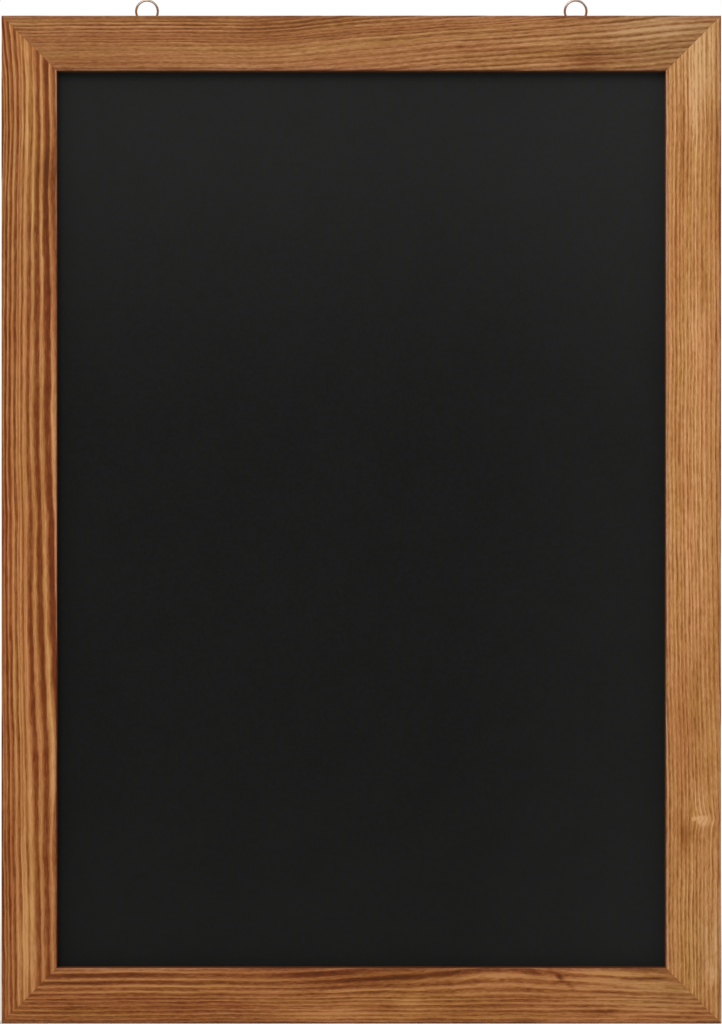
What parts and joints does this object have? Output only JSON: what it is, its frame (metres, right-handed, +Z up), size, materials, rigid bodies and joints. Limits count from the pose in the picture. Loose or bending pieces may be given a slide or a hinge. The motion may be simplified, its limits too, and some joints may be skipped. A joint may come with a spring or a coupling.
{
  "type": "chalkboard",
  "caption": "Portrait wall chalkboard: a matt black writing panel in a mitred, brown-stained pine frame, hung by swinging wire rings held behind its top rail.",
  "frame": {"origin": "where the wall hooks carry the board: midway between the two rings, at the underside of their tops", "axes": "+Z up along the board's height, +Y out of its back towards the wall, +X to the right as the writing side is seen"},
  "size_m": [0.5, 0.0226, 0.7139],
  "materials": {
    "stained_pine": "brushed grain, brown stain, satin varnish",
    "chalk_paint": "matt black chalkboard paint on hardboard",
    "steel": "bright",
    "brass": "polished, slightly reddish"
  },
  "bodies": {
    "board": {"top_rail": "stained_pine", "bottom_rail": "stained_pine", "left_stile": "stained_pine", "right_stile": "stained_pine", "chalk_panel": "chalk_paint", "v_nail_top_left_outer": "steel", "v_nail_top_left_inner": "steel", "v_nail_top_right_outer": "steel", "v_nail_top_right_inner": "steel", "v_nail_bottom_right_outer": "steel", "v_nail_bottom_right_inner": "steel", "v_nail_bottom_left_outer": "steel", "v_nail_bottom_left_inner": "steel", "panel_point_top_1": "steel", "panel_point_top_2": "steel", "panel_point_right_1": "steel", "panel_point_right_2": "steel", "panel_point_right_3": "steel", "panel_point_bottom_1": "steel", "panel_point_bottom_2": "steel", "panel_point_left_1": "steel", "panel_point_left_2": "steel", "panel_point_left_3": "steel", "ring_strap_left": "brass", "ring_strap_right": "brass", "strap_screw_left_upper": "brass", "strap_screw_left_lower": "brass", "strap_screw_right_upper": "brass", "strap_screw_right_lower": "brass"},
    "left_ring": {"hanging_ring_left": "brass"},
    "right_ring": {"hanging_ring_right": "brass"}
  },
  "joints": [
    {"name": "left_ring_swing", "type": "hinge", "parent": "board", "child": "left_ring", "pos_m": [-0.15, 0, -0.0144], "axis": [-1, 0, 0], "range_deg": [-40, 175]},
    {"name": "right_ring_swing", "type": "hinge", "parent": "board", "child": "right_ring", "pos_m": [0.15, 0, -0.0144], "axis": [-1, 0, 0], "range_deg": [-40, 175]}
  ]
}
